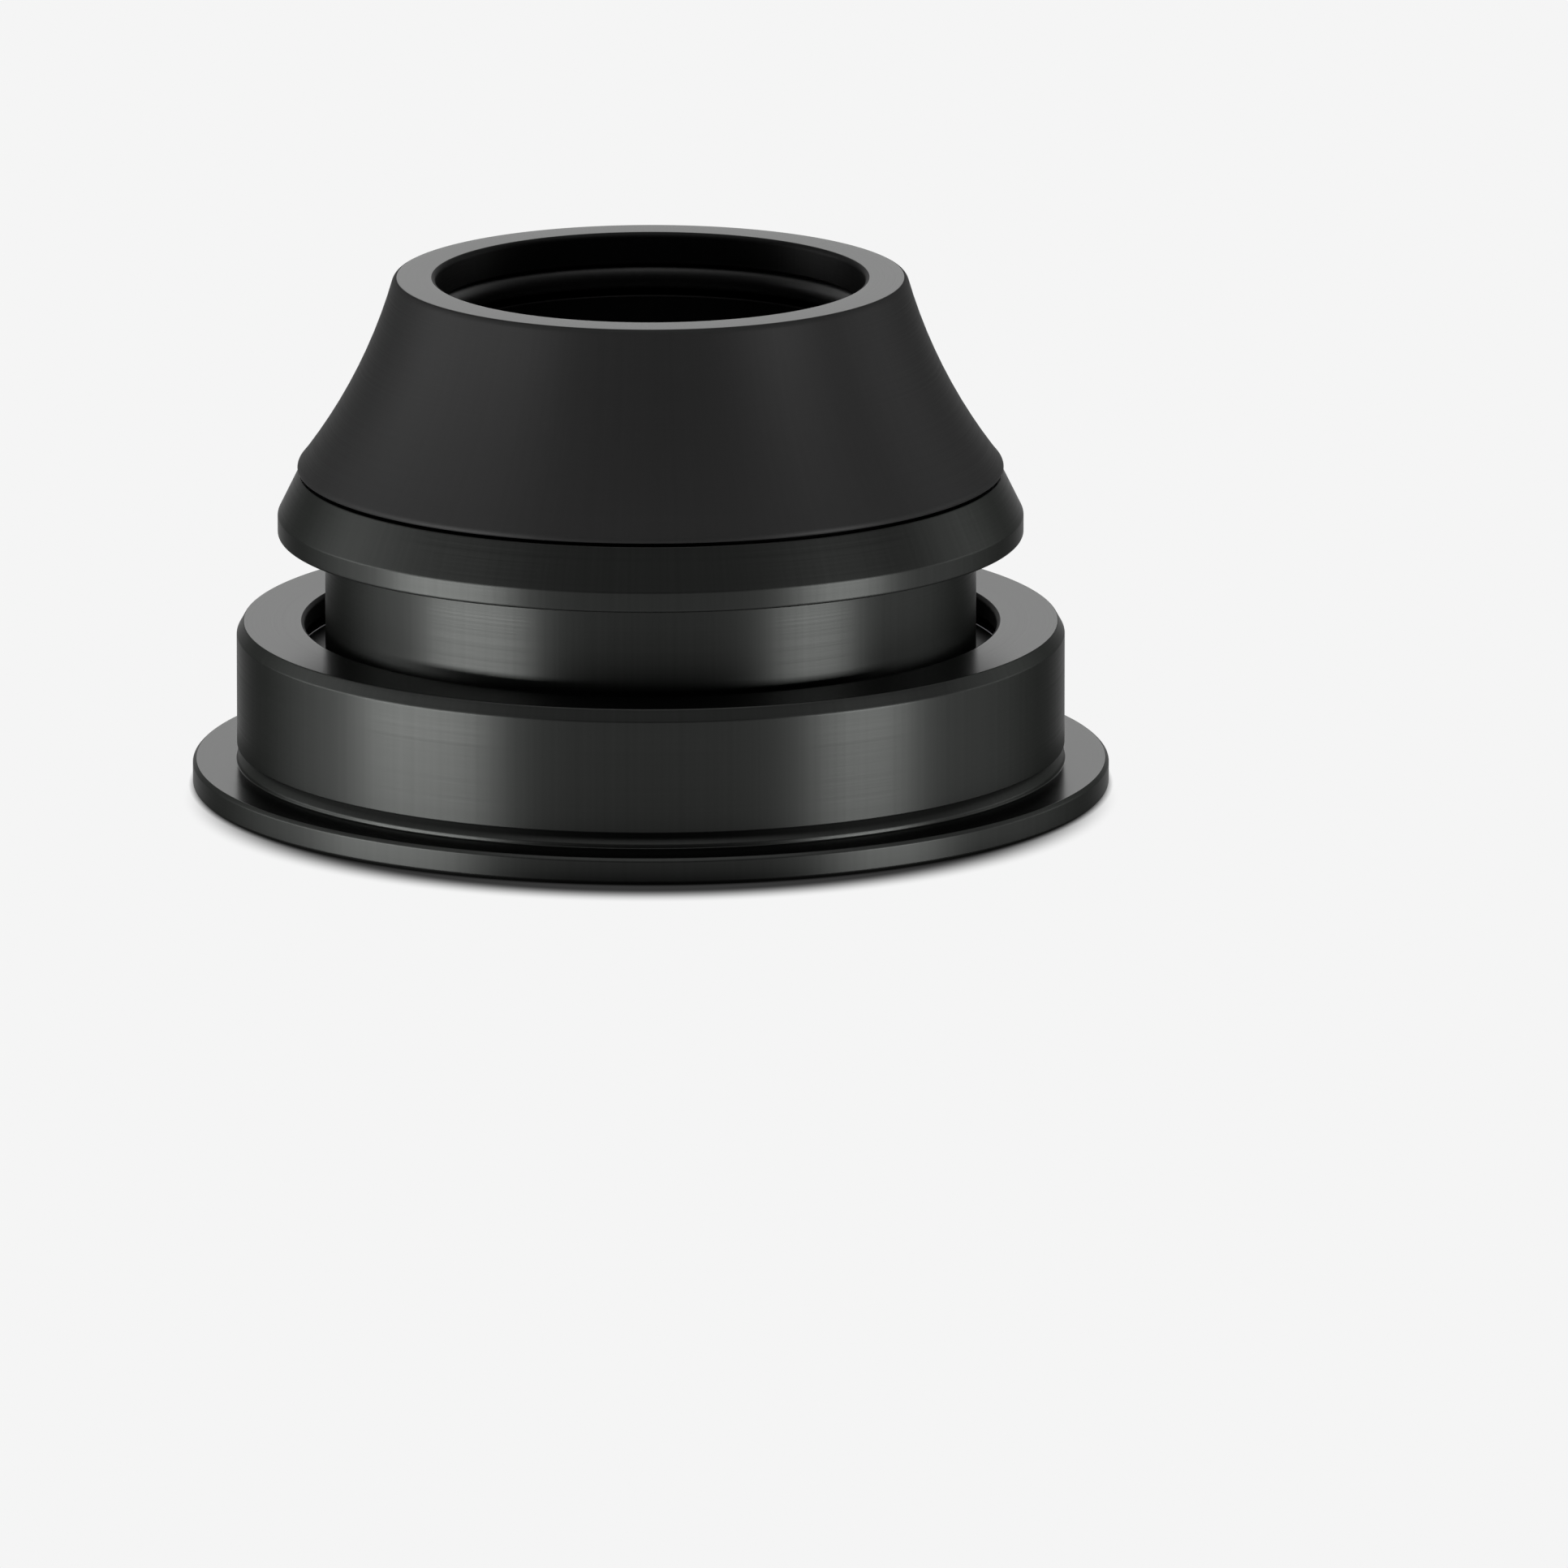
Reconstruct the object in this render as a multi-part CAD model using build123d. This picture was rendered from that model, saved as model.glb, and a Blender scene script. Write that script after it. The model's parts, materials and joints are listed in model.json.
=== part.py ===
import os
from math import pi, sqrt

from build123d import *

# Bicycle headset for a tapered steerer, stood on its lower flange with the upper cup nested in
# the lower one. Millimetres, Z is the steering axis and Z = 0 is the lower flange's underside.

# Gaps between pieces
seat_gap = 0.02          # a piece and the seat that it is pressed or slid into
running_gap = 0.05       # a turning piece and the seal lip beside it
ball_play = 0.03         # a ball and its raceways
wiper_gap = 0.1          # a rubber wiper and the face that turns past it
cage_gap = 0.15          # a ball and its cage
floor_gap = 0.25         # the crown race and the ground
shield_gap = 0.25        # the crown race's plate and the bearing above it
parting_gap = 0.22       # the top cover's skirt and the upper cup's rim

# Fork and steerer
steerer_d = 28.6
crown_seat_d = 39.8

# Both bearings
bearing_chamfer = 1.6    # leg of the 45 degree seats
race_shoulder = 0.75     # from the ball circle to the shoulder of each race
race_drop = 0.15         # inner race set back behind the outer race on the cup's side
seal_t = 0.9
cage_w = 1.0
cage_ring_h = 0.6
cage_post_reach = 1.0    # how far the cage's posts pass the ball circle

# Lower bearing, 40 x 52 x 7
lower_bearing_slip = 0.1
lower_bearing_section = 6.0
lower_bearing_h = 7.0
lower_ball_d = 3.175
lower_ball_count = 32

# Upper bearing, 30.15 x 41 x 6.5
upper_bearing_slip = 0.775
upper_bearing_section = 5.425
upper_bearing_h = 6.5
upper_ball_d = 2.778
upper_ball_count = 28

# Lower cup
lower_wall = 1.98
lower_flange_w = 3.0
lower_flange_t = 1.8
lower_roof = 2.25        # from the bearing to the cup's top face
lower_lip_h = 0.25       # plain step at the foot of the body
lower_groove_w = 0.8
lower_groove_d = 0.7     # at its roof, as its floor slopes out to the lip
lower_lead_h = 0.8
lower_lead_w = 0.45
nest_gap = 1.4           # the upper cup's body in the lower cup's mouth

# Crown race
crown_plate_t = 1.5
crown_nose_w = 0.6
crown_seal_w = 1.3
crown_seal_inset = 0.2

# Upper cup
upper_wall = 1.48
upper_ledge = 1.8        # how far the seat stands in under the bearing
upper_seat_rise = 2.9    # from the cup's bottom to the bearing
upper_body_l = 8.28
upper_flange_w = 3.2
upper_corner = 0.12      # broken edge of the flange's lower corner
upper_land_h = 1.25      # straight side of the flange, between the corner and the band
upper_band_h = 2.85
upper_band_w = 1.4       # how far the conical band draws in
upper_lead = 0.4

# Compression ring
ring_nose_w = 0.7
ring_stand = 1.6         # above the bearing
ring_split_w = 2.2

# Top cover
cover_h = 13.2
cover_bore_slip = 0.2
cover_rim_w = 2.9
cover_hub_w = 2.4
cover_foot_w = 0.05      # skirt standing out past the cup's rim
cover_foot_h = 0.85
cover_land_h = 0.3       # upright edge at the skirt's foot
cover_foot_slope_w = 0.45
cover_hollow = 0.62      # depth of the flank's curve
cover_skirt_t = 1.7
cover_pocket_h = 7.4
cover_pocket_w = 0.6     # width of the pocket's roof
cover_edge = 0.2

# O-ring in the top cover's bore
o_ring_d = 1.8
o_ring_depth = 2.2       # groove below the rim
o_ring_bite = 0.03       # its gap to the steerer
o_ring_room = 0.28       # spare height under it in the groove

# Lip seal under the top cover's skirt
lip_w = 0.9
lip_h = 1.2

edge = 0.2               # small chamfer on turned corners
press_edge = 0.3         # chamfer that leads in a pressed fork crown or bearing

# Radii of the lower half, from the fork crown outwards
crown_seat_r = crown_seat_d / 2
lower_bore_r = crown_seat_r + lower_bearing_slip
lower_bearing_r = lower_bore_r + lower_bearing_section
lower_seat_r = lower_bearing_r + seat_gap
lower_body_r = lower_seat_r + lower_wall
lower_flange_r = lower_body_r + lower_flange_w

# Radii of the upper half, from the steerer outwards
steerer_r = steerer_d / 2
upper_bore_r = steerer_r + upper_bearing_slip
upper_bearing_r = upper_bore_r + upper_bearing_section
upper_seat_r = upper_bearing_r + seat_gap
upper_body_r = upper_seat_r + upper_wall
upper_mouth_r = upper_bearing_r - upper_ledge
lower_mouth_r = upper_body_r + nest_gap
upper_flange_r = upper_body_r + upper_flange_w
upper_rim_r = upper_flange_r - upper_band_w
cover_bore_r = steerer_r + cover_bore_slip
cover_rim_r = cover_bore_r + cover_rim_w
cover_hub_r = cover_bore_r + cover_hub_w
cover_foot_r = upper_rim_r + cover_foot_w

# Heights, from the ground up
crown_plate_bottom = floor_gap
crown_plate_top = crown_plate_bottom + crown_plate_t
lower_bearing_bottom = crown_plate_top + shield_gap
lower_bearing_top = lower_bearing_bottom + lower_bearing_h
lower_cup_top = lower_bearing_top + lower_roof
upper_cup_bottom = lower_bearing_top
upper_bearing_bottom = upper_cup_bottom + upper_seat_rise
upper_bearing_top = upper_bearing_bottom + upper_bearing_h
upper_flange_z = upper_cup_bottom + upper_body_l
upper_corner_z = upper_flange_z + upper_corner
upper_band_z = upper_corner_z + upper_land_h
upper_cup_top = upper_band_z + upper_band_h
ring_top = upper_bearing_top + ring_stand
cover_bottom = upper_cup_top + parting_gap
cover_top = cover_bottom + cover_h
cover_roof = cover_bottom + cover_pocket_h

# A 45 degree face moved off its seat by the seat gap moves this far along an axis
seat_step = seat_gap * sqrt(2)


def turned(*outline):
    """A piece turned about the steering axis from a closed outline of (radius, height) edges."""
    return revolve(Plane.XZ * make_face(outline), Axis.Z)


def turned_flats(*points):
    """A turned piece whose outline has only straight sides."""
    return turned(Polyline(*points, close=True))


def ring(inner, outer, bottom, top):
    """A plain ring of rectangular section."""
    return turned_flats((inner, bottom), (outer, bottom), (outer, top), (inner, top))


def ball_flat(ball_d):
    """Distance from a ball's centre to its flats, for the volume of a true sphere.

    Balls are drawn light, as cubes with every edge cut back: eight sides round each way.
    """
    volume_per_side = (12 + 10 * sqrt(2)) / 3
    side = ball_d * (pi / 6 / volume_per_side) ** (1 / 3)
    return side * (1 + sqrt(2)) / 2


def bearing(bore_r, section, height, ball_d, ball_count):
    """Angular contact bearing on Z = 0, its outer seat at the top and its inner seat at the foot."""
    outer_r = bore_r + section
    pitch_r = bore_r + section / 2
    middle = height / 2
    flat = ball_flat(ball_d)
    reach = flat + ball_play
    shoulder_z = sqrt(2) * reach - race_shoulder
    groove_z = (sqrt(2) - 1) * reach
    track_outer_r = pitch_r + reach
    track_inner_r = pitch_r - reach
    shoulder_outer_r = pitch_r + race_shoulder
    shoulder_inner_r = pitch_r - race_shoulder

    outer_race = turned_flats(
        (track_outer_r, 0),
        (outer_r, 0),
        (outer_r, height - bearing_chamfer),
        (outer_r - bearing_chamfer, height),
        (shoulder_outer_r, height),
        (shoulder_outer_r, middle + shoulder_z),
        (track_outer_r, middle + groove_z),
    )
    inner_race = turned_flats(
        (track_inner_r, height - race_drop),
        (bore_r, height - race_drop),
        (bore_r, bearing_chamfer),
        (bore_r + bearing_chamfer, 0),
        (shoulder_inner_r, 0),
        (shoulder_inner_r, middle - shoulder_z),
        (track_inner_r, middle - groove_z),
    )
    cup_side_seal = ring(
        track_inner_r + running_gap, shoulder_outer_r - seat_gap, height - seal_t, height
    )
    fork_side_seal = ring(shoulder_inner_r + running_gap, track_outer_r - seat_gap, 0, seal_t)

    cut_back = flat * (2 - sqrt(2))
    ball = chamfer(Box(2 * flat, 2 * flat, 2 * flat).edges(), cut_back)
    places = PolarLocations(pitch_r, ball_count)
    balls = Compound([Pos(0, 0, middle) * place * ball for place in places])

    cage_bottom = middle + flat + cage_gap
    cage_inner_r = pitch_r - cage_w / 2
    spacing = 2 * pi * cage_inner_r / ball_count
    post_w = spacing - 2 * flat - 2 * cage_gap
    post_h = cage_bottom + cage_ring_h - middle + cage_post_reach
    post = Box(cage_w, post_w, post_h, align=(Align.CENTER, Align.CENTER, Align.MAX))
    between = PolarLocations(pitch_r, ball_count, start_angle=180 / ball_count)
    cage_top = Pos(0, 0, cage_bottom + cage_ring_h)
    cage = ring(cage_inner_r, pitch_r + cage_w / 2, cage_bottom, cage_bottom + cage_ring_h)
    cage = cage + [cage_top * place * post for place in between]

    return outer_race, inner_race, balls, cage, cup_side_seal, fork_side_seal


def lower_cup():
    """Cup pressed into the head tube's lower end, open downwards for the bearing."""
    groove_bottom = lower_flange_t + lower_lip_h
    groove_top = groove_bottom + lower_groove_w
    groove_r = lower_body_r - lower_groove_d
    seat_z = lower_bearing_top - bearing_chamfer + seat_step - seat_gap
    return turned_flats(
        (lower_seat_r + press_edge, 0),
        (lower_flange_r - edge, 0),
        (lower_flange_r, edge),
        (lower_flange_r, lower_flange_t - edge),
        (lower_flange_r - edge, lower_flange_t),
        (lower_body_r, lower_flange_t),
        (lower_body_r, groove_bottom),
        (groove_r, groove_top),
        (lower_body_r, groove_top),
        (lower_body_r, lower_cup_top - lower_lead_h),
        (lower_body_r - lower_lead_w, lower_cup_top),
        (lower_mouth_r + edge, lower_cup_top),
        (lower_mouth_r, lower_cup_top - edge),
        (lower_mouth_r, seat_z + lower_seat_r - lower_mouth_r),
        (lower_seat_r, seat_z),
        (lower_seat_r, press_edge),
    )


def crown_race():
    """Plate with a raised cone that centres the lower bearing on the fork crown."""
    plate_r = lower_seat_r - wiper_gap - crown_seal_w
    cone_sum = lower_bore_r + bearing_chamfer + lower_bearing_bottom - seat_step
    nose_r = crown_seat_r + crown_nose_w
    return turned_flats(
        (crown_seat_r + press_edge, crown_plate_bottom),
        (plate_r, crown_plate_bottom),
        (plate_r, crown_plate_top),
        (cone_sum - crown_plate_top, crown_plate_top),
        (nose_r, cone_sum - nose_r),
        (crown_seat_r, cone_sum - nose_r),
        (crown_seat_r, crown_plate_bottom + press_edge),
    )


def crown_race_seal():
    """Rubber wiper round the crown race's plate, thinning to a lip at the cup's bore."""
    lip_r = lower_seat_r - wiper_gap
    inner_r = lip_r - crown_seal_w + seat_gap
    bottom = crown_plate_bottom + crown_seal_inset
    lip_top = bottom + (crown_plate_top - bottom) / 2
    return turned_flats(
        (inner_r, bottom),
        (lip_r, bottom),
        (lip_r, lip_top),
        (inner_r + crown_seal_w / 2, crown_plate_top),
        (inner_r, crown_plate_top),
    )


def upper_cup():
    """Cup pressed into the head tube's upper end, open upwards for the bearing."""
    seat_z = upper_bearing_bottom + bearing_chamfer - seat_step + seat_gap
    return turned_flats(
        (upper_flange_r - upper_corner, upper_flange_z),
        (upper_flange_r, upper_corner_z),
        (upper_flange_r, upper_band_z),
        (upper_rim_r, upper_cup_top),
        (upper_seat_r + press_edge, upper_cup_top),
        (upper_seat_r, upper_cup_top - press_edge),
        (upper_seat_r, seat_z),
        (upper_mouth_r, seat_z - upper_seat_r + upper_mouth_r),
        (upper_mouth_r, upper_cup_bottom),
        (upper_body_r - upper_lead, upper_cup_bottom),
        (upper_body_r, upper_cup_bottom + upper_lead),
        (upper_body_r, upper_flange_z),
    )


def compression_ring():
    """Split wedge that grips the steerer as the top cover is drawn down on it."""
    cone_gap = upper_bore_r - upper_bearing_top + bearing_chamfer - seat_step
    nose_r = steerer_r + ring_nose_w
    outer_r = upper_bore_r + bearing_chamfer - seat_step
    whole = turned_flats(
        (steerer_r, nose_r - cone_gap),
        (nose_r, nose_r - cone_gap),
        (outer_r, outer_r - cone_gap),
        (outer_r, ring_top - edge),
        (outer_r - edge, ring_top),
        (steerer_r, ring_top),
    )
    split = Box(2 * outer_r, ring_split_w, 2 * ring_top, align=(Align.MIN, Align.CENTER, Align.CENTER))
    return whole - split


def top_cover():
    """Hollow cone with a hub that bears on the compression ring and a groove for the O-ring."""
    groove_top = cover_top - o_ring_depth
    groove_bottom = groove_top - o_ring_d - 2 * seat_gap - o_ring_room
    groove_r = steerer_r + o_ring_bite + o_ring_d + seat_gap
    flank_r = cover_foot_r - cover_foot_slope_w
    flank_z = cover_bottom + cover_foot_h
    skirt_r = cover_foot_r - cover_skirt_t
    lip_top = cover_bottom + lip_h
    sides = Polyline(
        (flank_r, flank_z),
        (cover_foot_r, cover_bottom + cover_land_h),
        (cover_foot_r, cover_bottom),
        (skirt_r, cover_bottom),
        (skirt_r, lip_top),
        (skirt_r - lip_w, lip_top),
        (cover_hub_r + cover_pocket_w, cover_roof),
        (cover_hub_r, cover_roof),
        (cover_hub_r, ring_top),
        (cover_bore_r, ring_top),
        (cover_bore_r, groove_bottom),
        (groove_r, groove_bottom),
        (groove_r, groove_top),
        (cover_bore_r, groove_top),
        (cover_bore_r, cover_top - cover_edge),
        (cover_bore_r + cover_edge, cover_top),
        (cover_rim_r - cover_edge, cover_top),
        (cover_rim_r, cover_top - cover_edge),
    )
    flank = SagittaArc((cover_rim_r, cover_top - cover_edge), (flank_r, flank_z), -cover_hollow)
    return turned(sides, flank)


def top_cover_o_ring():
    """Ring that wipes the steerer, its round section drawn with eight flats."""
    centre_r = steerer_r + o_ring_bite + o_ring_d / 2
    centre_z = cover_top - o_ring_depth - seat_gap - o_ring_d / 2
    section = RegularPolygon(o_ring_d / 2, 8, major_radius=False, rotation=22.5)
    return revolve(Plane.XZ * Pos(centre_r, centre_z) * section, Axis.Z)


def top_cover_lip_seal():
    """Rubber ring in the skirt's rebate, reaching down to the upper cup's rim."""
    outer_r = cover_foot_r - cover_skirt_t - seat_gap
    inner_r = outer_r - lip_w
    lip_z = upper_cup_top + wiper_gap
    return turned_flats(
        (outer_r - lip_w / 2, lip_z),
        (outer_r, lip_z),
        (outer_r, cover_bottom + lip_h - seat_gap),
        (inner_r, cover_bottom + lip_h - seat_gap),
        (inner_r, cover_bottom + lip_h / 2),
    )


bearing_names = ("outer_race", "inner_race", "balls", "ball_cage")
lower_bearing = bearing(
    lower_bore_r, lower_bearing_section, lower_bearing_h, lower_ball_d, lower_ball_count
)
upper_bearing = bearing(
    upper_bore_r, upper_bearing_section, upper_bearing_h, upper_ball_d, upper_ball_count
)
lower_place = Pos(0, 0, lower_bearing_bottom)
upper_place = Pos(0, 0, upper_bearing_top) * Rot(180, 0, 0)

nodes = {
    "lower_cup": lower_cup(),
    "crown_race": crown_race(),
    "crown_race_seal": crown_race_seal(),
    "upper_cup": upper_cup(),
    "compression_ring": compression_ring(),
    "top_cover": top_cover(),
    "top_cover_o_ring": top_cover_o_ring(),
    "top_cover_lip_seal": top_cover_lip_seal(),
}
for name, solid in zip(bearing_names + ("top_seal", "bottom_seal"), lower_bearing):
    nodes["lower_" + name] = lower_place * solid
for name, solid in zip(bearing_names + ("bottom_seal", "top_seal"), upper_bearing):
    nodes["upper_" + name] = upper_place * solid

os.makedirs("parts", exist_ok=True)
for name, solid in nodes.items():
    export_step(solid, f"parts/{name}.step")
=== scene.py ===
import json
import math

import bmesh
import bpy
from mathutils import Matrix, Vector

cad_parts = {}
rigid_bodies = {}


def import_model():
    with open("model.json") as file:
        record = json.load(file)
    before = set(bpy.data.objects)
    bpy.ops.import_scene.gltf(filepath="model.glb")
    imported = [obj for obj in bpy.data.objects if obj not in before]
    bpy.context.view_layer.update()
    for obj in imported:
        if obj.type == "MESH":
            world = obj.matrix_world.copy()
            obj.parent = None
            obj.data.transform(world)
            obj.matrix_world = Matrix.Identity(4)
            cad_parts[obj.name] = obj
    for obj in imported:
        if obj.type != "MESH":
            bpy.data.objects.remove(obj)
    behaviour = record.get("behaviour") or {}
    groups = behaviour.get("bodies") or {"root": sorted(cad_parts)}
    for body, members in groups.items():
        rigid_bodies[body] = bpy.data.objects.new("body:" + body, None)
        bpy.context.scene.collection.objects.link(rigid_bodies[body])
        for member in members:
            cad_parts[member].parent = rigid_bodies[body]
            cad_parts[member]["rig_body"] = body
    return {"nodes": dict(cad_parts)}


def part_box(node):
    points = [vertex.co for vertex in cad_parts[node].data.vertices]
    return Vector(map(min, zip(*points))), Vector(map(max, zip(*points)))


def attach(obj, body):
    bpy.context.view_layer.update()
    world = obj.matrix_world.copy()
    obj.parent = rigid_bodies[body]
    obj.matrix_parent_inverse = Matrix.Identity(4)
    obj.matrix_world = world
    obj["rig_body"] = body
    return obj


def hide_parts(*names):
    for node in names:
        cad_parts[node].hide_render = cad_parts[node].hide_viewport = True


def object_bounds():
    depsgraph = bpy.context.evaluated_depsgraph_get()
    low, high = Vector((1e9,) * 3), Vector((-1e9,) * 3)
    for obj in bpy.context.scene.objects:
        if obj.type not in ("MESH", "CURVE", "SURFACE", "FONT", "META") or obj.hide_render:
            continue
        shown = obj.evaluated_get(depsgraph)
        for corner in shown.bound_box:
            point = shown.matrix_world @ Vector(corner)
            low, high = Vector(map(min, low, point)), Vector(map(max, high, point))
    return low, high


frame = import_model()
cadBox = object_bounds()
scene = bpy.context.scene
scene.view_settings.view_transform = "Standard"
mm = 0.001
mergeDistance = 0.0005 * mm
cutDistance = 0.001 * mm
print("frame loaded,", len(frame["nodes"]), "nodes")


def linearColor(hexText):
    shares = [int(hexText[i:i + 2], 16) / 255 for i in (1, 3, 5)]
    return (*[s / 12.92 if s <= 0.04045 else ((s + 0.055) / 1.055) ** 2.4 for s in shares], 1.0)


def addNode(tree, kind, inputs=None, **settings):
    node = tree.nodes.new(kind)
    for key, value in settings.items():
        setattr(node, key, value)
    for socket, value in (inputs or {}).items():
        if isinstance(value, bpy.types.NodeSocket):
            tree.links.new(value, node.inputs[socket])
        else:
            node.inputs[socket].default_value = value
    return node


def emptyMaterial(name):
    material = bpy.data.materials.new(name)
    material.use_nodes = True
    material.node_tree.nodes.clear()
    return material, material.node_tree


def newMaterial(name, shader):
    material, tree = emptyMaterial(name)
    surface = addNode(tree, "ShaderNodeBsdfPrincipled", shader)
    addNode(tree, "ShaderNodeOutputMaterial", {"Surface": surface.outputs["BSDF"]})
    return material, tree, surface


# Colour and gloss move between a finish's two values, each by its pattern. The gloss pattern is
# also the relief, where a finish has one.
def vary(tree, surface, look, colorPattern, glossPattern):
    tint = addNode(tree, "ShaderNodeMix", {
        "Factor": colorPattern.outputs["Fac"],
        "A": linearColor(look["dark"]),
        "B": linearColor(look["light"]),
    }, data_type="RGBA")
    gloss = addNode(tree, "ShaderNodeMapRange", {
        "Value": glossPattern.outputs["Fac"],
        "From Min": look["glossSpan"][0],
        "From Max": look["glossSpan"][1],
        "To Min": look["roughness"][0],
        "To Max": look["roughness"][1],
    })
    tree.links.new(tint.outputs["Result"], surface.inputs["Base Color"])
    tree.links.new(gloss.outputs["Result"], surface.inputs["Roughness"])
    if "reliefDepth" in look:
        relief = addNode(tree, "ShaderNodeBump", {
            "Strength": look["reliefStrength"],
            "Distance": look["reliefDepth"] * mm,
            "Height": glossPattern.outputs["Fac"],
        })
        tree.links.new(relief.outputs["Normal"], surface.inputs["Normal"])


def lathePosition(tree):
    place = addNode(tree, "ShaderNodeTexCoord").outputs["Object"]
    split = addNode(tree, "ShaderNodeSeparateXYZ", {0: place})
    flat = addNode(tree, "ShaderNodeCombineXYZ", {"X": split.outputs["X"], "Y": split.outputs["Y"]})
    radius = addNode(tree, "ShaderNodeVectorMath", {0: flat.outputs[0]}, operation="LENGTH")
    around = addNode(tree, "ShaderNodeMath", {0: split.outputs["Y"], 1: split.outputs["X"]},
                     operation="ARCTAN2")
    return radius.outputs["Value"], split.outputs["Z"], around.outputs[0]


# Lathe marks run round the axis, so they change with radius and height alone.
def latheMarks(tree, radius, height, look):
    position = addNode(tree, "ShaderNodeCombineXYZ", {"X": radius, "Y": height})
    return addNode(tree, "ShaderNodeTexNoise", {
        "Vector": position.outputs[0],
        "Scale": 1 / (look["markSpacing"] * mm),
        "Detail": look["markDetail"],
        "Roughness": look["markRoughness"],
    }, noise_dimensions="2D")


wholeSpan = (0.0, 1.0)
alongAxis = 0.25  # a quarter turn, from round the axis to along it


# Black anodised aluminium: a hard, dyed oxide film over turned metal. The film gives a dark body
# colour, and the lathe marks under it draw highlights out along the axis.
def anodised(name, look):
    material, tree, surface = newMaterial(name, {
        "Metallic": look["metallic"],
        "Specular IOR Level": look["specular"],
        "Specular Tint": linearColor(look["edge"]),
        "Anisotropic": look["drawnOut"],
        "Anisotropic Rotation": alongAxis,
    })
    radius, height, around = lathePosition(tree)
    marks = latheMarks(tree, radius, height, look)
    turn = addNode(tree, "ShaderNodeCombineXYZ", {"X": around, "Y": height})
    perRadian = look["streakRadius"] / look["streakWidth"]
    perMetre = 1 / (look["streakLength"] * mm)
    stretch = addNode(tree, "ShaderNodeVectorMath", {0: turn.outputs[0], 1: (perRadian, perMetre, 0.0)},
                      operation="MULTIPLY")
    streaks = addNode(tree, "ShaderNodeTexNoise", {
        "Vector": stretch.outputs[0],
        "Scale": 1.0,
        "Detail": look["streakDetail"],
    }, noise_dimensions="2D")
    vary(tree, surface, look, streaks, marks)
    return material


cupFinish = {
    "dark": "#313231",
    "light": "#363736",
    "edge": "#A6A6A6",  # darkens the metal where it is seen at a low angle
    "metallic": 1.0,
    "specular": 0.5,
    "drawnOut": 0.55,
    "roughness": (0.385, 0.44),
    "glossSpan": (0.25, 0.75),
    "markSpacing": 0.12,  # finer on the real one, drawn as coarse as it needs to show
    "markDetail": 3.0,
    "markRoughness": 0.6,
    "reliefDepth": 0.001,
    "reliefStrength": 0.3,
    "streakWidth": 0.5,  # as wide as this at the streak radius, narrower nearer the axis
    "streakRadius": 30.0,
    "streakLength": 125.0,
    "streakDetail": 2.0,
}
# The faced copy is smoother than the turned film, which is its real finish, and lighter in colour and edge
# tint, which paints extra reflection on upright flats.
facedPaintedReflectionFinish = dict(cupFinish, dark="#393A39", light="#3D3E3D", edge="#C6C6C6", drawnOut=0.15,
                   roughness=(0.2, 0.24))
# The bored copy is darker than the turned film: its colour paints shade onto the faces toward the axis.
boredPaintedShadeFinish = dict(cupFinish, dark="#1E1E1E", light="#232323", edge="#B4B4B4", roughness=(0.48, 0.56))
coverFinish = dict(cupFinish, dark="#2E2E2E", light="#303030", edge="#ABABAB", metallic=0.6, specular=0.0,
                   drawnOut=0.69, roughness=(0.49, 0.56))
cupMaterial = anodised("blackAnodisedTurned", cupFinish)
facedPaintedReflectionMaterial = anodised("blackAnodisedFacedPaintedReflection", facedPaintedReflectionFinish)  # smoother, so flats mirror the pale wall; its lighter colour and edge tint are painted reflection that brightens them
boredPaintedShadeMaterial = anodised("blackAnodisedBoredPaintedShade", boredPaintedShadeFinish)  # a darker copy of the film on faces toward the axis: its colour is painted shade in the insides, and it is a little rougher
coverMaterial = anodised("blackAnodisedSatin", coverFinish)  # softer, with less of a metal's shine


# Ground, turned and polished metals: a fine grain round the axis shifts their colour and gloss.
def turnedMetal(name, look):
    material, tree, surface = newMaterial(name, {
        "Metallic": 1.0,
        "Anisotropic": look["drawnOut"],
        "Anisotropic Rotation": alongAxis,
    })
    radius, height = lathePosition(tree)[:2]
    marks = latheMarks(tree, radius, height, look)
    vary(tree, surface, look, marks, marks)
    return material


raceFinish = {  # black oxide on ground steel: dark, with a soft sheen
    "dark": "#38383B",
    "light": "#4A4A4D",
    "roughness": (0.22, 0.34),
    "glossSpan": wholeSpan,
    "drawnOut": 0.5,
    "markSpacing": 0.1,
    "markDetail": 2.0,
    "markRoughness": 0.5,
}
bareFinish = dict(raceFinish, dark="#BEBFC2", light="#DADBDD", roughness=(0.2, 0.36), drawnOut=0.6,
                  markSpacing=0.14)
ballFinish = dict(raceFinish, dark="#C6C6C9", light="#CDCDD0", roughness=(0.05, 0.09), drawnOut=0.0,
                  markSpacing=0.6)
raceMaterial = turnedMetal("bearingSteelBlackOxide", raceFinish)
bareMaterial = turnedMetal("aluminiumBareTurned", bareFinish)  # bright, with turning marks
ballMaterial = turnedMetal("bearingSteelPolished", ballFinish)  # close to a mirror


# Moulded goods: a soft mottle in colour and gloss, and a faint grain.
def moulded(name, look):
    material, tree, surface = newMaterial(name, {"IOR": look["ior"], "Specular IOR Level": look["specular"]})
    place = addNode(tree, "ShaderNodeTexCoord").outputs["Object"]
    grain = addNode(tree, "ShaderNodeTexNoise", {
        "Vector": place,
        "Scale": 1 / (look["grain"] * mm),
        "Detail": look["grainDetail"],
    })
    vary(tree, surface, look, grain, grain)
    return material


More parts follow.
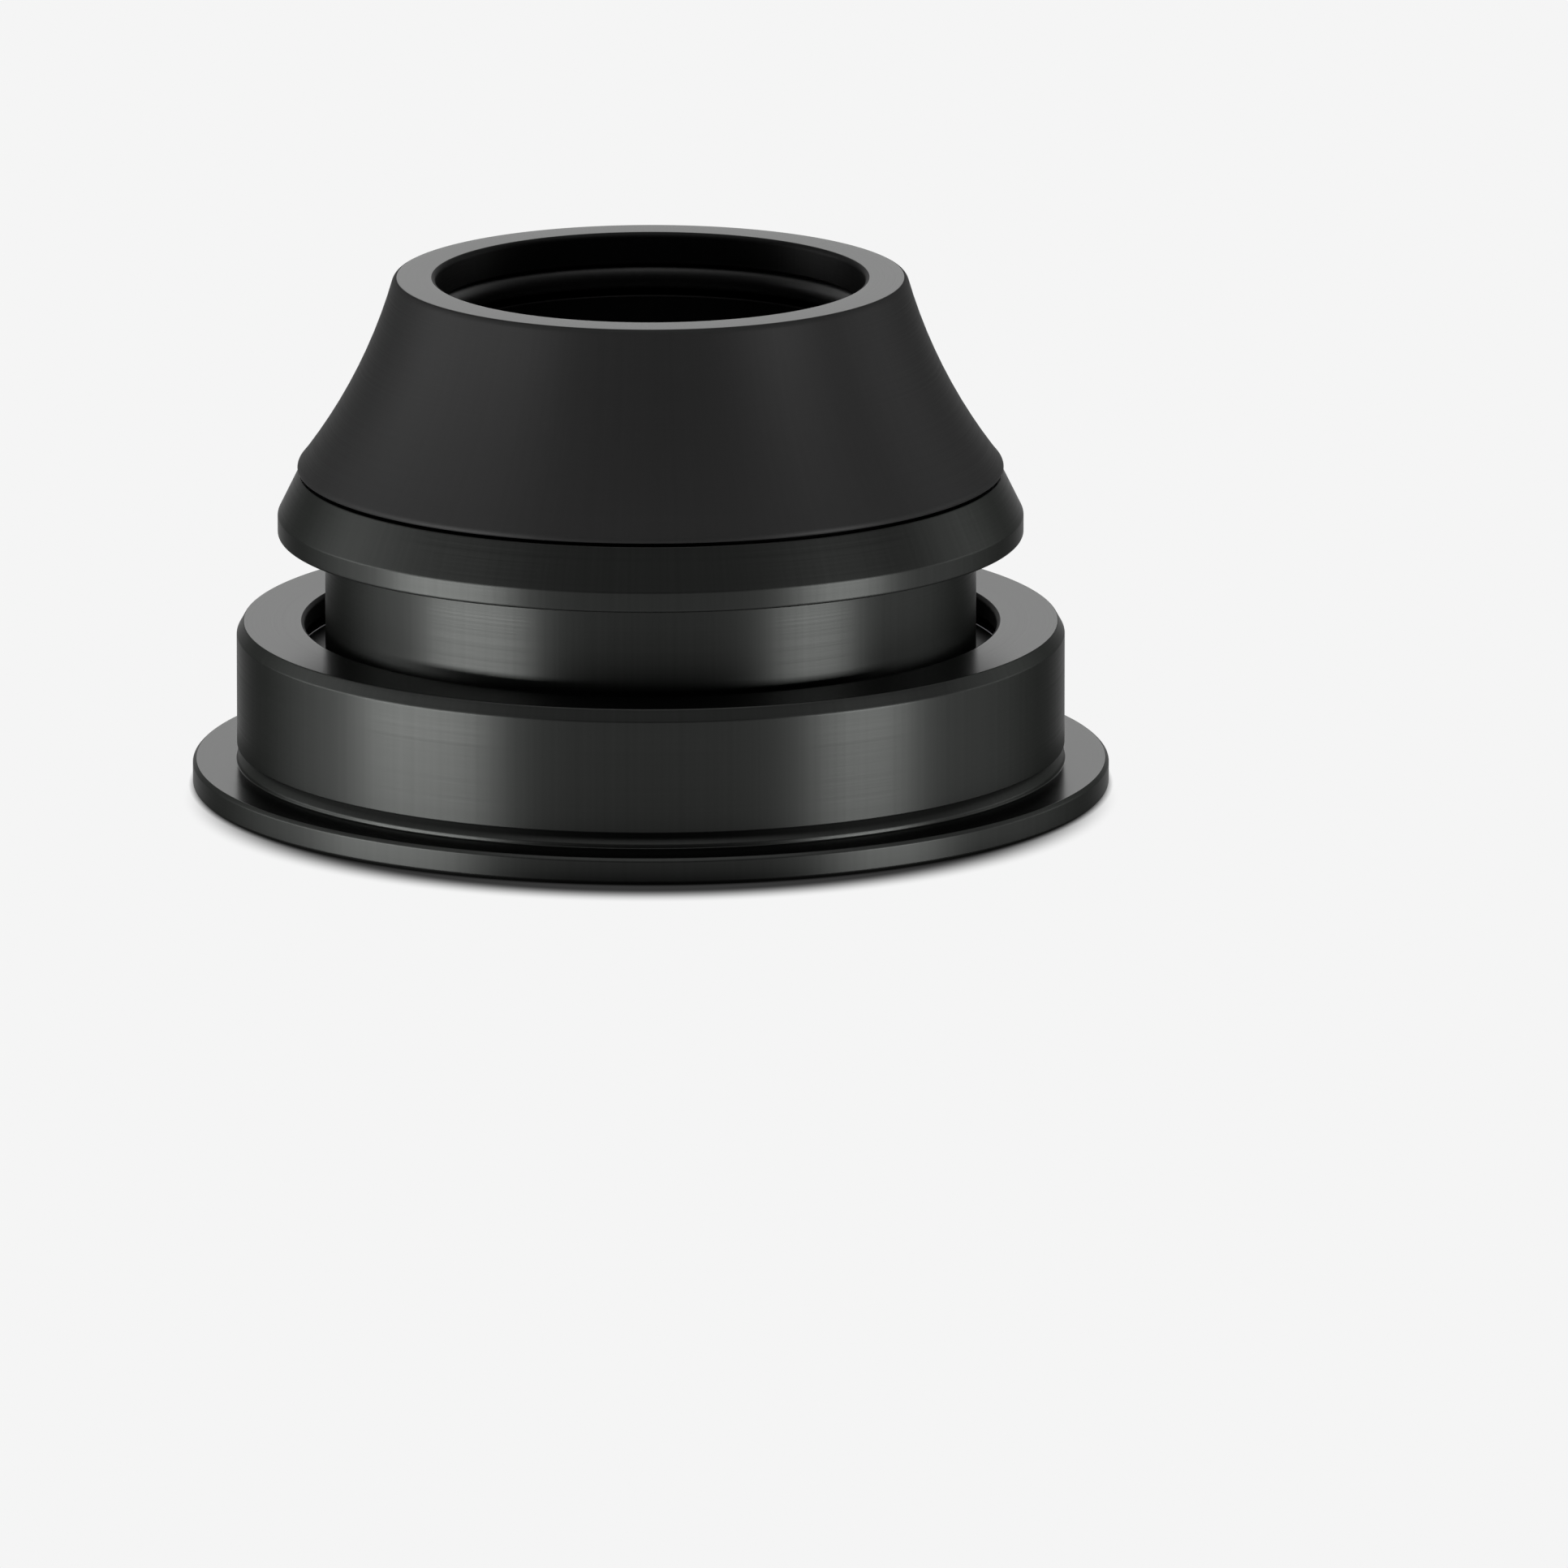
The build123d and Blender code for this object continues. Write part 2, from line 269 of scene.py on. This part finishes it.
rubberFinish = {
    "dark": "#101010",
    "light": "#191919",
    "ior": 1.52,
    "specular": 0.5,
    "roughness": (0.42, 0.6),
    "glossSpan": wholeSpan,
    "grain": 0.3,
    "grainDetail": 4.0,
    "reliefDepth": 0.01,
    "reliefStrength": 0.3,
}
cageFinish = dict(rubberFinish, dark="#2B2A27", light="#35342F", ior=1.53, roughness=(0.4, 0.55), grain=0.4)
rubberMaterial = moulded("nitrileRubberMoulded", rubberFinish)  # dull black
cageMaterial = moulded("nylonMoulded", cageFinish)  # warm dark grey
print("materials made")


def placePiece(bm, name, nodeName, slotName, *materials):
    mesh = bpy.data.meshes.new(name)
    bm.to_mesh(mesh)
    bm.free()
    mesh.shade_smooth()
    for material in materials:
        mesh.materials.append(material)
    piece = bpy.data.objects.new(name, mesh)
    scene.collection.objects.link(piece)
    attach(piece, frame["nodes"][nodeName]["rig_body"])
    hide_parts(nodeName)
    return piece


# Flat faces shade flat, and only the rounded edges between them shade round.
def keepFlats(piece, weight):
    flatShade = piece.modifiers.new("flatFacesStayFlat", "WEIGHTED_NORMAL")
    flatShade.weight = weight
    flatShade.keep_sharp = True


# The outline that a turned node was made from: its mesh cut at one side of the steering axis.
def outlineOf(nodeName, side=1):
    near = 0.002 * mm
    bm = bmesh.new()
    bm.from_mesh(frame["nodes"][nodeName].data)
    bmesh.ops.remove_doubles(bm, verts=bm.verts, dist=near)
    bmesh.ops.bisect_plane(bm, geom=bm.verts[:] + bm.edges[:] + bm.faces[:], dist=near,
                           plane_co=(0, 0, 0), plane_no=(0, 1, 0))
    others = [v for v in bm.verts if abs(v.co.y) > near or v.co.x * side < 0]
    bmesh.ops.delete(bm, geom=others, context="VERTS")
    bmesh.ops.remove_doubles(bm, verts=bm.verts, dist=near)
    return bm


def spinWhole(bm, steps):
    bmesh.ops.spin(bm, geom=bm.verts[:] + bm.edges[:], axis=(0, 0, 1), cent=(0, 0, 0), angle=2 * math.pi,
                   steps=steps, use_merge=True)
    bmesh.ops.remove_doubles(bm, verts=bm.verts, dist=mergeDistance)
    bmesh.ops.recalc_face_normals(bm, faces=bm.faces)


roundCorner = {"segments": 4, "profile": 0.5}


# Rounds the outline's corners and turns it into a whole ring.
def turnOutline(bm, edgeRound, steps):
    plain = math.radians(168)  # a wider angle than this is part of a curve and stays
    corners = []
    for vert in bm.verts:
        sides = [edge.other_vert(vert).co - vert.co for edge in vert.link_edges]
        if len(sides) == 2 and sides[0].angle(sides[1]) < plain:
            corners.append(vert)
    bmesh.ops.bevel(bm, geom=corners, offset=edgeRound * mm, offset_type="OFFSET", affect="VERTICES",
                    material=-1, clamp_overlap=True, **roundCorner)
    spinWhole(bm, steps)


# Each set holds the turned film, a lighter faced copy that paints extra reflection on upright flats, and a
# darker bored copy that paints shade into the faces toward the axis.
cupFilms = (cupMaterial, facedPaintedReflectionMaterial, boredPaintedShadeMaterial)
coverFilms = (coverMaterial, facedPaintedReflectionMaterial, boredPaintedShadeMaterial)
anodisedCup = {"round": 0.08, "steps": 256, "slot": "black_anodised", "films": cupFilms}
rubberRing = {"round": 0.12, "steps": 192, "slot": "black_rubber", "films": (rubberMaterial,)}
steelRace = {"round": 0.12, "steps": 192, "slot": "bearing_steel", "films": (raceMaterial,)}
turnedPieces = {
    "lower_cup": anodisedCup,
    "upper_cup": anodisedCup,
    "top_cover": dict(anodisedCup, round=0.15, films=coverFilms),
    "crown_race": anodisedCup,
    "crown_race_seal": rubberRing,
    "top_cover_lip_seal": rubberRing,
}
for end in ("lower", "upper"):
    turnedPieces.update({f"{end}_{race}_race": steelRace for race in ("outer", "inner")})
    turnedPieces.update({f"{end}_{seal}_seal": rubberRing for seal in ("top", "bottom")})
flatFrom = 0.98  # a face whose normal is more upright than this counts as faced, and gets the lighter copy that paints extra reflection
flatWeight = 100

for nodeName, make in turnedPieces.items():
    outline = outlineOf(nodeName)
    turnOutline(outline, make["round"], make["steps"])
    # Upright flats take the faced copy, whose lighter colour and edge tint paint extra reflection on them;
    # faces toward the axis take the bored copy, whose darker colour paints shade into the insides.
    if len(make["films"]) > 1:
        for face in outline.faces:
            facesAxis = face.normal.to_2d().dot(face.calc_center_median().to_2d()) < 0
            flatGetsPaintedReflection = abs(face.normal.z) > flatFrom
            face.material_index = 1 if flatGetsPaintedReflection else 2 if facesAxis else 0
    piece = placePiece(outline, nodeName + "_turned", nodeName, make["slot"], *make["films"])
    keepFlats(piece, flatWeight)
print("turned pieces made,", len(turnedPieces))

# Wedge ring: turned whole, then slit on the +X side.
wedgeRing = {"round": 0.1, "steps": 192, "slit": 2.2, "sharpFrom": 50, "flatWeight": 50}
wedge = outlineOf("compression_ring", side=-1)
turnOutline(wedge, wedgeRing["round"], wedgeRing["steps"])
halfSlit = wedgeRing["slit"] / 2 * mm
for y in (-halfSlit, halfSlit):
    bmesh.ops.bisect_plane(wedge, geom=wedge.verts[:] + wedge.edges[:] + wedge.faces[:], dist=cutDistance,
                           plane_co=(0, y, 0), plane_no=(0, 1, 0))
middles = {f: f.calc_center_median() for f in wedge.faces}
slitFaces = [f for f, middle in middles.items() if middle.x > 0 and abs(middle.y) < halfSlit]
bmesh.ops.delete(wedge, geom=slitFaces, context="FACES")
for y in (-halfSlit, halfSlit):
    rim = [e for e in wedge.edges if e.is_boundary and e.verts[0].co.y * y > 0]
    bmesh.ops.contextual_create(wedge, geom=rim)
bmesh.ops.recalc_face_normals(wedge, faces=wedge.faces)
piece = placePiece(wedge, "compression_ring_turned", "compression_ring", "bare_aluminium", bareMaterial)
piece.data.set_sharp_from_angle(angle=math.radians(wedgeRing["sharpFrom"]))
keepFlats(piece, wedgeRing["flatWeight"])

# O-ring: a round cord section swept round the bore.
oRing = {"sectionSteps": 28, "steps": 160}
low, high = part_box("top_cover_o_ring")
sectionRadius = (high.z - low.z) / 2
sectionCentre = Matrix.Translation((high.x - sectionRadius, 0, (low.z + high.z) / 2))
sectionPlace = sectionCentre @ Matrix.Rotation(math.pi / 2, 4, "X")
ringMesh = bmesh.new()
bmesh.ops.create_circle(ringMesh, segments=oRing["sectionSteps"], radius=sectionRadius, matrix=sectionPlace)
spinWhole(ringMesh, oRing["steps"])
placePiece(ringMesh, "top_cover_o_ring_round", "top_cover_o_ring", "black_rubber", rubberMaterial)

# Bearing balls: round ones where the plain solids are, the first of each set on +X.
ballSets = {"counts": {"lower_balls": 32, "upper_balls": 28}, "subdivisions": 3}
for nodeName, count in ballSets["counts"].items():
    low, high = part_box(nodeName)
    ballRadius = (high.z - low.z) / 2
    centre = Matrix.Translation((high.x - ballRadius, 0, (low.z + high.z) / 2))
    balls = bmesh.new()
    for k in range(count):
        turn = Matrix.Rotation(2 * math.pi * k / count, 4, "Z")
        bmesh.ops.create_icosphere(balls, subdivisions=ballSets["subdivisions"], radius=ballRadius,
                                   matrix=turn @ centre)
    placePiece(balls, nodeName + "_round", nodeName, "ball_steel", ballMaterial)

for nodeName in ("lower_ball_cage", "upper_ball_cage"):
    for slot in frame["nodes"][nodeName].material_slots:
        slot.material = cageMaterial
print("bearing insides, wedge ring and O-ring made")

# Floor: pale paper that shows its own colour to the eye and in reflections. The shadow on it is
# drawn, as a soft disc a little in front of the flange, with a thin line of occlusion where the
# flange stands. From below the paper can be seen through.
floorLook = {
    "color": "#F5F5F5",
    "radius": 2.6,  # metres, far past the picture's edge
    "segments": 96,
    "drop": 0.03,
    "shadowForward": 4.3,
    "shadowFade": (-3.1, 0.7),  # from dark inside the flange's radius to none outside it
    "shadowLevel": 0.04,
    "contactReach": 0.4,
}
floorMesh = bmesh.new()
bmesh.ops.create_circle(floorMesh, cap_ends=True, segments=floorLook["segments"], radius=floorLook["radius"],
                        matrix=Matrix.Translation((0, 0, -floorLook["drop"] * mm)))
floorData = bpy.data.meshes.new("floor")
floorMesh.to_mesh(floorData)
floorMesh.free()
floor = bpy.data.objects.new("floor", floorData)
scene.collection.objects.link(floor)
floorMaterial, tree = emptyMaterial("paperPaleMatt")
paleColor = linearColor(floorLook["color"])
paper = addNode(tree, "ShaderNodeBsdfDiffuse", {"Color": paleColor})
place = addNode(tree, "ShaderNodeTexCoord").outputs["Object"]
forward = addNode(tree, "ShaderNodeVectorMath", {0: place, 1: (0, floorLook["shadowForward"] * mm, 0)},
                  operation="ADD")
fromShadow = addNode(tree, "ShaderNodeVectorMath", {0: forward.outputs[0]}, operation="LENGTH")
flangeRadius = cadBox[1].x
shade = addNode(tree, "ShaderNodeMapRange", {
    "Value": fromShadow.outputs["Value"],
    "From Min": flangeRadius + floorLook["shadowFade"][0] * mm,
    "From Max": flangeRadius + floorLook["shadowFade"][1] * mm,
    "To Min": floorLook["shadowLevel"],
}, interpolation_type="SMOOTHSTEP")
contact = addNode(tree, "ShaderNodeAmbientOcclusion", {"Distance": floorLook["contactReach"] * mm})
shown = addNode(tree, "ShaderNodeMath", {0: shade.outputs[0], 1: contact.outputs["AO"]}, operation="MULTIPLY")
glow = addNode(tree, "ShaderNodeEmission", {"Color": paleColor, "Strength": shown.outputs[0]})
seen = addNode(tree, "ShaderNodeLightPath").outputs
seenAtAll = seen["Is Camera Ray"]
for ray in ("Is Glossy Ray", "Is Transmission Ray"):
    seenAtAll = addNode(tree, "ShaderNodeMath", {0: seenAtAll, 1: seen[ray]}, operation="MAXIMUM").outputs[0]
lit = addNode(tree, "ShaderNodeMixShader", {0: seenAtAll, 1: paper.outputs[0], 2: glow.outputs[0]})
clear = addNode(tree, "ShaderNodeBsdfTransparent")
side = addNode(tree, "ShaderNodeNewGeometry").outputs["Backfacing"]
sheet = addNode(tree, "ShaderNodeMixShader", {0: side, 1: lit.outputs[0], 2: clear.outputs[0]})
addNode(tree, "ShaderNodeOutputMaterial", {"Surface": sheet.outputs[0]})
floorData.materials.append(floorMaterial)

# Studio: soft lights at both sides, a pale wall behind, a light above and a glow along the horizon.
# Azimuth counts from the camera's side, to the right. A light is full up to its first angle and
# gone at its second, in width (each way) and in height. One without an azimuth goes all round.
studioLights = {
    "ceiling": {"height": (80, 42), "strength": 1.4},
    "horizon": {"height": (1, 4), "strength": 0.3},
    "leftSide": {"azimuth": -100, "width": (4, 25), "height": (6, 16), "strength": 8.5},
    "rightSide": {"azimuth": 111, "width": (4, 25), "height": (6, 16), "strength": 3.5},
    "wall": {"azimuth": 180, "width": (12, 91), "height": (30, 67), "strength": 1.8},
}
roomLevel = 0.01
underLevel = 0.3  # below the horizon, where the floor hides it
horizonBlend = 0.03  # how far below the horizon, as a sine, the lights fade out

# Low strip lamps stand on the table outside the picture and draw the bright bands on the walls.
stripLamps = {
    "leftStrip": {
        "azimuth": -58,
        "distance": 113,
        "width": 75,
        "bottom": 0.5,
        "top": 5.9,
        "strength": 77.0,
    },
    "rightStrip": {
        "azimuth": 55.5,
        "distance": 146,
        "width": 67,
        "bottom": 0.5,
        "top": 11.8,
        "strength": 49.0,
    },
}


def aim(azimuth, elevation):
    a, e = math.radians(azimuth), math.radians(elevation)
    return Vector((math.sin(a) * math.cos(e), -math.cos(a) * math.cos(e), math.sin(e)))


for name, strip in stripLamps.items():
    lampData = bpy.data.lights.new(name, "AREA")
    lampData.shape = "RECTANGLE"
    lampData.size = strip["width"] * mm
    lampData.size_y = (strip["top"] - strip["bottom"]) * mm
    lampData.energy = strip["strength"] * math.pi * lampData.size * lampData.size_y
    lamp = bpy.data.objects.new(name, lampData)
    outwards = aim(strip["azimuth"], 0)
    lamp.location = outwards * strip["distance"] * mm
    lamp.location.z = (strip["top"] + strip["bottom"]) / 2 * mm
    lamp.rotation_mode = "QUATERNION"
    lamp.rotation_quaternion = outwards.to_track_quat("Z", "Y")
    lamp.visible_camera = False
    scene.collection.objects.link(lamp)

world = bpy.data.worlds.new("studio")
world.use_nodes = True
scene.world = world
tree = world.node_tree
tree.nodes.clear()
direction = addNode(tree, "ShaderNodeTexCoord").outputs["Generated"]
heading = addNode(tree, "ShaderNodeVectorMath", {0: direction, 1: (1, 1, 0)}, operation="MULTIPLY")
heading = addNode(tree, "ShaderNodeVectorMath", {0: heading.outputs[0]}, operation="NORMALIZE")
rise = addNode(tree, "ShaderNodeSeparateXYZ", {0: direction}).outputs["Z"]
level = roomLevel
for light in studioLights.values():
    fades = [(rise, [math.sin(math.radians(a)) for a in light["height"]])]
    if "azimuth" in light:
        facing = addNode(tree, "ShaderNodeVectorMath", {0: heading.outputs[0], 1: aim(light["azimuth"], 0)},
                         operation="DOT_PRODUCT")
        fades.append((facing.outputs["Value"], [math.cos(math.radians(a)) for a in light["width"]]))
    patch = light["strength"]
    for angle, (full, gone) in fades:
        soft = addNode(tree, "ShaderNodeMapRange", {"Value": angle, "From Min": gone, "From Max": full},
                       interpolation_type="SMOOTHSTEP")
        patch = addNode(tree, "ShaderNodeMath", {0: patch, 1: soft.outputs["Result"]},
                        operation="MULTIPLY").outputs[0]
    level = addNode(tree, "ShaderNodeMath", {0: level, 1: patch}, operation="ADD").outputs[0]
above = addNode(tree, "ShaderNodeMapRange", {"Value": rise, "From Min": -horizonBlend, "From Max": 0.0},
                interpolation_type="SMOOTHSTEP").outputs["Result"]
level = addNode(tree, "ShaderNodeMix", {"Factor": above, "A": underLevel, "B": level}).outputs["Result"]
sky = addNode(tree, "ShaderNodeBackground", {"Color": (1, 1, 1, 1), "Strength": level})
addNode(tree, "ShaderNodeOutputWorld", {"Surface": sky.outputs[0]})
print("floor and light made")

# Camera: far off with a long lens, as the photo's near-parallel edges need. Photo pixels are
# counted in its 1932 pixel frame.
photo = {
    "side": 1932,
    "axisX": 802.0,
    "groundY": 963.0,
    "pixelsPerMm": 18.2,
    "elevation": 12.9,
    "distance": 2.0,  # metres
}
focalPixels = photo["pixelsPerMm"] / mm * photo["distance"]
cameraData = bpy.data.cameras.new("camera")
cameraData.sensor_width = 36.0
cameraData.lens = cameraData.sensor_width * focalPixels / photo["side"]
camera = bpy.data.objects.new("camera", cameraData)
scene.collection.objects.link(camera)
scene.camera = camera
back = aim(0, photo["elevation"])
half = photo["side"] / 2
across = (half - photo["axisX"]) / photo["pixelsPerMm"] * mm
up = (photo["groundY"] - half) / photo["pixelsPerMm"] * mm
sideways = Vector((1, 0, 0))
upright = back.cross(sideways)
target = sideways * across + upright * up
camera.location = target + back * photo["distance"]
camera.rotation_mode = "QUATERNION"
camera.rotation_quaternion = (-back).to_track_quat("-Z", "Y")
print("camera set, lens", round(cameraData.lens))
